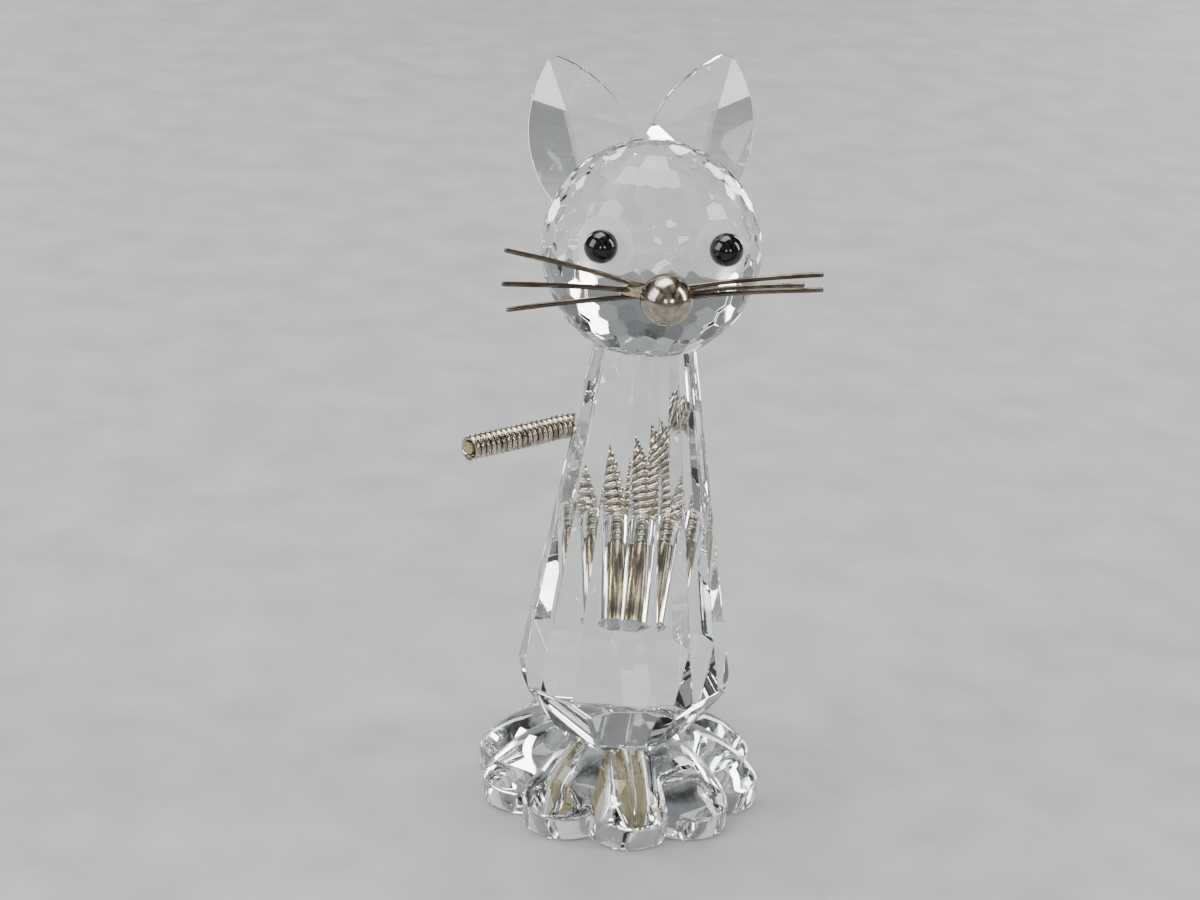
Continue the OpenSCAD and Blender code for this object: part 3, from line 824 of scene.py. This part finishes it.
# %% Solder lump
solder_low, solder_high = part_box("nose_solder")
SOLDER_R = (solder_high.z - solder_low.z) / 2
solder_y = solder_low.y + SOLDER_R
solder_z = (solder_low.z + solder_high.z) / 2
ALONG, ROUND = 48, 32
SOLDER_WAVE = 0.8 * MM  # Size of its dents and swellings
SOLDER_UNEVEN = 0.12  # How deep they are, as a share of its radius
SOLDER_FLAT = 0.8  # Front to back it is this much of its height
lump = bmesh.new()
rows = []
for i in range(ALONG + 1):
    t = i / ALONG
    x = solder_low.x + (solder_high.x - solder_low.x) * t
    swell = min(1.0, math.sqrt(max(0.0, 1 - (2 * t - 1) ** 6)))
    row = []
    for j in range(ROUND):
        angle = 2 * math.pi * j / ROUND
        way = Vector((0, math.cos(angle), math.sin(angle)))
        surface = Vector((x, way.y * SOLDER_R, way.z * SOLDER_R))
        uneven = SOLDER_UNEVEN * (noise.noise(surface / SOLDER_WAVE) - 0.3)
        flatter = SOLDER_FLAT + (1 - SOLDER_FLAT) * abs(way.z)
        radius = max(0.02 * MM, SOLDER_R * swell * (0.92 + uneven) * flatter)
        point = Vector((x, solder_y, solder_z)) + radius * way
        point.y = min(point.y, solder_high.y)
        row.append(lump.verts.new(point))
    rows.append(row)
for first, second in zip(rows, rows[1:]):
    for j in range(ROUND):
        k = (j + 1) % ROUND
        lump.faces.new((first[j], first[k], second[k], second[j]))
lump.faces.new(rows[0])
lump.faces.new(list(reversed(rows[-1])))
bmesh.ops.recalc_face_normals(lump, faces=lump.faces)
solder_mesh = bpy.data.meshes.new("solder_lump")
lump.to_mesh(solder_mesh)
lump.free()
solder_mesh.shade_smooth()
solder_mesh.materials.append(solder_metal)
solder = new_object("solder_lump", solder_mesh)
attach(solder, "figure")
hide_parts("nose_solder")
print("solder from", round(solder_low.x / MM, 1), "to", round(solder_high.x / MM, 1), "mm")

# %% [markdown]
# ## Tail
# The tail is a sleeve of plated wire, wound tight round a softer core that holds whatever bend it is
# given. It follows the CAD model's knuckles in one smooth line. Each length of it crosses one knuckle,
# and bends there between the two links on either side.

# %% Tail
TAIL_R, TAIL_WIRE_R, TAIL_PITCH = 1.22 * MM, 0.275 * MM, 0.6 * MM
CORE_R, CORE_OUT = 0.6 * MM, 0.45 * MM  # The core stands CORE_OUT out of the sleeve's end
WINDING_STEP, CORE_STEP = 0.028 * MM, 0.2 * MM
BORE_DEPTH = 9.5 * MM
START_OUT = 2.2 * MM  # From the bore's mouth to the first knuckle
last_link = tail_pivots[-1] - tail_pivots[-2]
tail_tip = tail_pivots[-1] + last_link
root = tail_pivots[0] - (START_OUT + BORE_DEPTH) * bore_way
# Two knots on the bore's axis keep the root straight inside it
in_axis = [tail_pivots[0] - along * MM * bore_way for along in (6, 2)]
tail_line, tail_length = through("tail_line", [root] + in_axis + tail_pivots + [tail_tip])
print("tail is", round(tail_length / MM, 1), "mm long with its root")


def walked_to(point):
    """Distance along the tail's line to the place nearest a point."""
    places = [Vector(p.co[:3]) for p in tail_line.data.splines[0].points]
    best, best_gap, walked = 0.0, 1.0, 0.0
    for p, q in zip(places, places[1:]):
        gap = (p - point).length
        if gap < best_gap:
            best, best_gap = walked, gap
        walked += (q - p).length
    return best


# The cement round the root is a tube, drawn up a little against the glass at its top. Its heights are
# along the bore, from the first knuckle.
CEMENT_OUT, CEMENT_IN, CEMENT_RISE = 1.68 * MM, 1.24 * MM, 0.25 * MM
CEMENT_SHORT = 1.6 * MM  # From its top to the bore's mouth
MENISCUS = 0.1 * MM  # Thickness of the cement drawn up against the glass
CEMENT_FROM, CEMENT_TO = -(START_OUT + BORE_DEPTH), -(START_OUT + CEMENT_SHORT)
cement_section = [
    (CEMENT_IN, CEMENT_FROM),
    (CEMENT_OUT, CEMENT_FROM),
    (CEMENT_OUT, CEMENT_TO),
    (CEMENT_OUT - MENISCUS, CEMENT_TO - 0.6 * CEMENT_RISE),
    (CEMENT_IN, CEMENT_TO - CEMENT_RISE),
]
fillet = bmesh.new()
points = [fillet.verts.new((r, 0, z)) for r, z in cement_section]
lines = [fillet.edges.new(pair) for pair in zip(points, points[1:] + points[:1])]
bmesh.ops.spin(
    fillet, geom=points + lines, axis=(0, 0, 1), cent=(0, 0, 0), angle=2 * math.pi, steps=64,
)
bmesh.ops.remove_doubles(fillet, verts=fillet.verts, dist=SAME_PLACE)
bmesh.ops.recalc_face_normals(fillet, faces=fillet.faces)
in_place = Matrix.Translation(tail_pivots[0]) @ bore_way.to_track_quat("Z", "Y").to_matrix().to_4x4()
bmesh.ops.transform(fillet, matrix=in_place, verts=fillet.verts)
cement_mesh = bpy.data.meshes.new("cement_round_root")
fillet.to_mesh(cement_mesh)
fillet.free()
cement_mesh.shade_smooth()
cement_mesh.set_sharp_from_angle(angle=SHARP_RIM)
cement_mesh.materials.append(bore_cement)
root_cement = new_object("cement_round_root", cement_mesh)
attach(root_cement, "figure")
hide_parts("tail_cement")
print("cement is", round((CEMENT_TO - CEMENT_FROM) / MM, 1), "mm long")

# %% Tail pieces
last = len(tail_pivots) - 1
middles = [(a + b) / 2 for a, b in zip(tail_pivots, tail_pivots[1:])]
cuts = [0.0] + [walked_to(m) for m in middles] + [tail_length]
for k, pivot in enumerate(tail_pivots):
    # The ends of a length are out of the rounding's reach, so they stay square and meet the next ones
    shared = {"From": cuts[k], "Round From": -1.0, "Round To": 1.0}
    winding = wire(f"tail_winding_{k + 1}", tail_line, {
        **shared, "To": cuts[k + 1], "Step": WINDING_STEP, "Winding Radius": TAIL_R - TAIL_WIRE_R,
        "Pitch": TAIL_PITCH, "Wire Radius": TAIL_WIRE_R, "Metal": wound_plate, "Sides": 10,
    })
    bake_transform(winding)
    nodes = [f"tail_sleeve_{k + 1}"] + ([] if k else ["tail_root_sleeve"])
    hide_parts(*nodes)
    core = wire(f"tail_core_wire_{k + 1}", tail_line, {
        **shared, "To": cuts[k + 1] + (CORE_OUT if k == last else 0), "Step": CORE_STEP,
        "Winding Radius": 0.0, "Pitch": 1.0, "Wire Radius": CORE_R, "Metal": core_wire, "Sides": 24,
    })
    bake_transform(core)
    nodes = [f"tail_core_{k + 1}"] + ([] if k else ["tail_root_core"])
    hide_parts(*nodes)
    print(winding.name, len(winding.data.polygons), "faces")
bpy.data.objects.remove(tail_line)

# %% [markdown]
# ## Floor
# A plain pale floor, wide enough to run out of sight, with the faint mottling of cast plaster.

# %% Floor
FLOOR_HALF = 40.0  # Metres, as far as the eye can follow
MOTTLE = 9 * MM
# Polished glass only touches a floor at a few points. The air under it lets it bend light.
AIR_GAP = 0.05 * MM
floor_mesh = bpy.data.meshes.new("floor")
floor_mesh.from_pydata(
    [(x * FLOOR_HALF, y * FLOOR_HALF, -AIR_GAP) for x, y in ((-1, -1), (1, -1), (1, 1), (-1, 1))],
    [], [(0, 1, 2, 3)],
)
floor = new_object("floor", floor_mesh)
plaster, tree = new_material("pale_plaster")
place = add(tree, "ShaderNodeTexCoord").outputs["Object"]
mottle = add(tree, "ShaderNodeTexNoise", {"Vector": place, "Scale": 1 / MOTTLE, "Detail": 4.0})
clouds = add(tree, "ShaderNodeMapRange", {
    "Value": mottle.outputs["Fac"], "From Min": 0.35, "From Max": 0.65,
})
shade = add(tree, "ShaderNodeMix", {
    "Factor": clouds.outputs["Result"], "A": linear("#9c9ea1"), "B": linear("#a9abad"),
}, data_type="RGBA")
matt = add(tree, "ShaderNodeBsdfPrincipled", {"Base Color": shade.outputs["Result"], "Roughness": 0.8})
add(tree, "ShaderNodeOutputMaterial", {"Surface": matt.outputs["BSDF"]})
floor_mesh.materials.append(plaster)
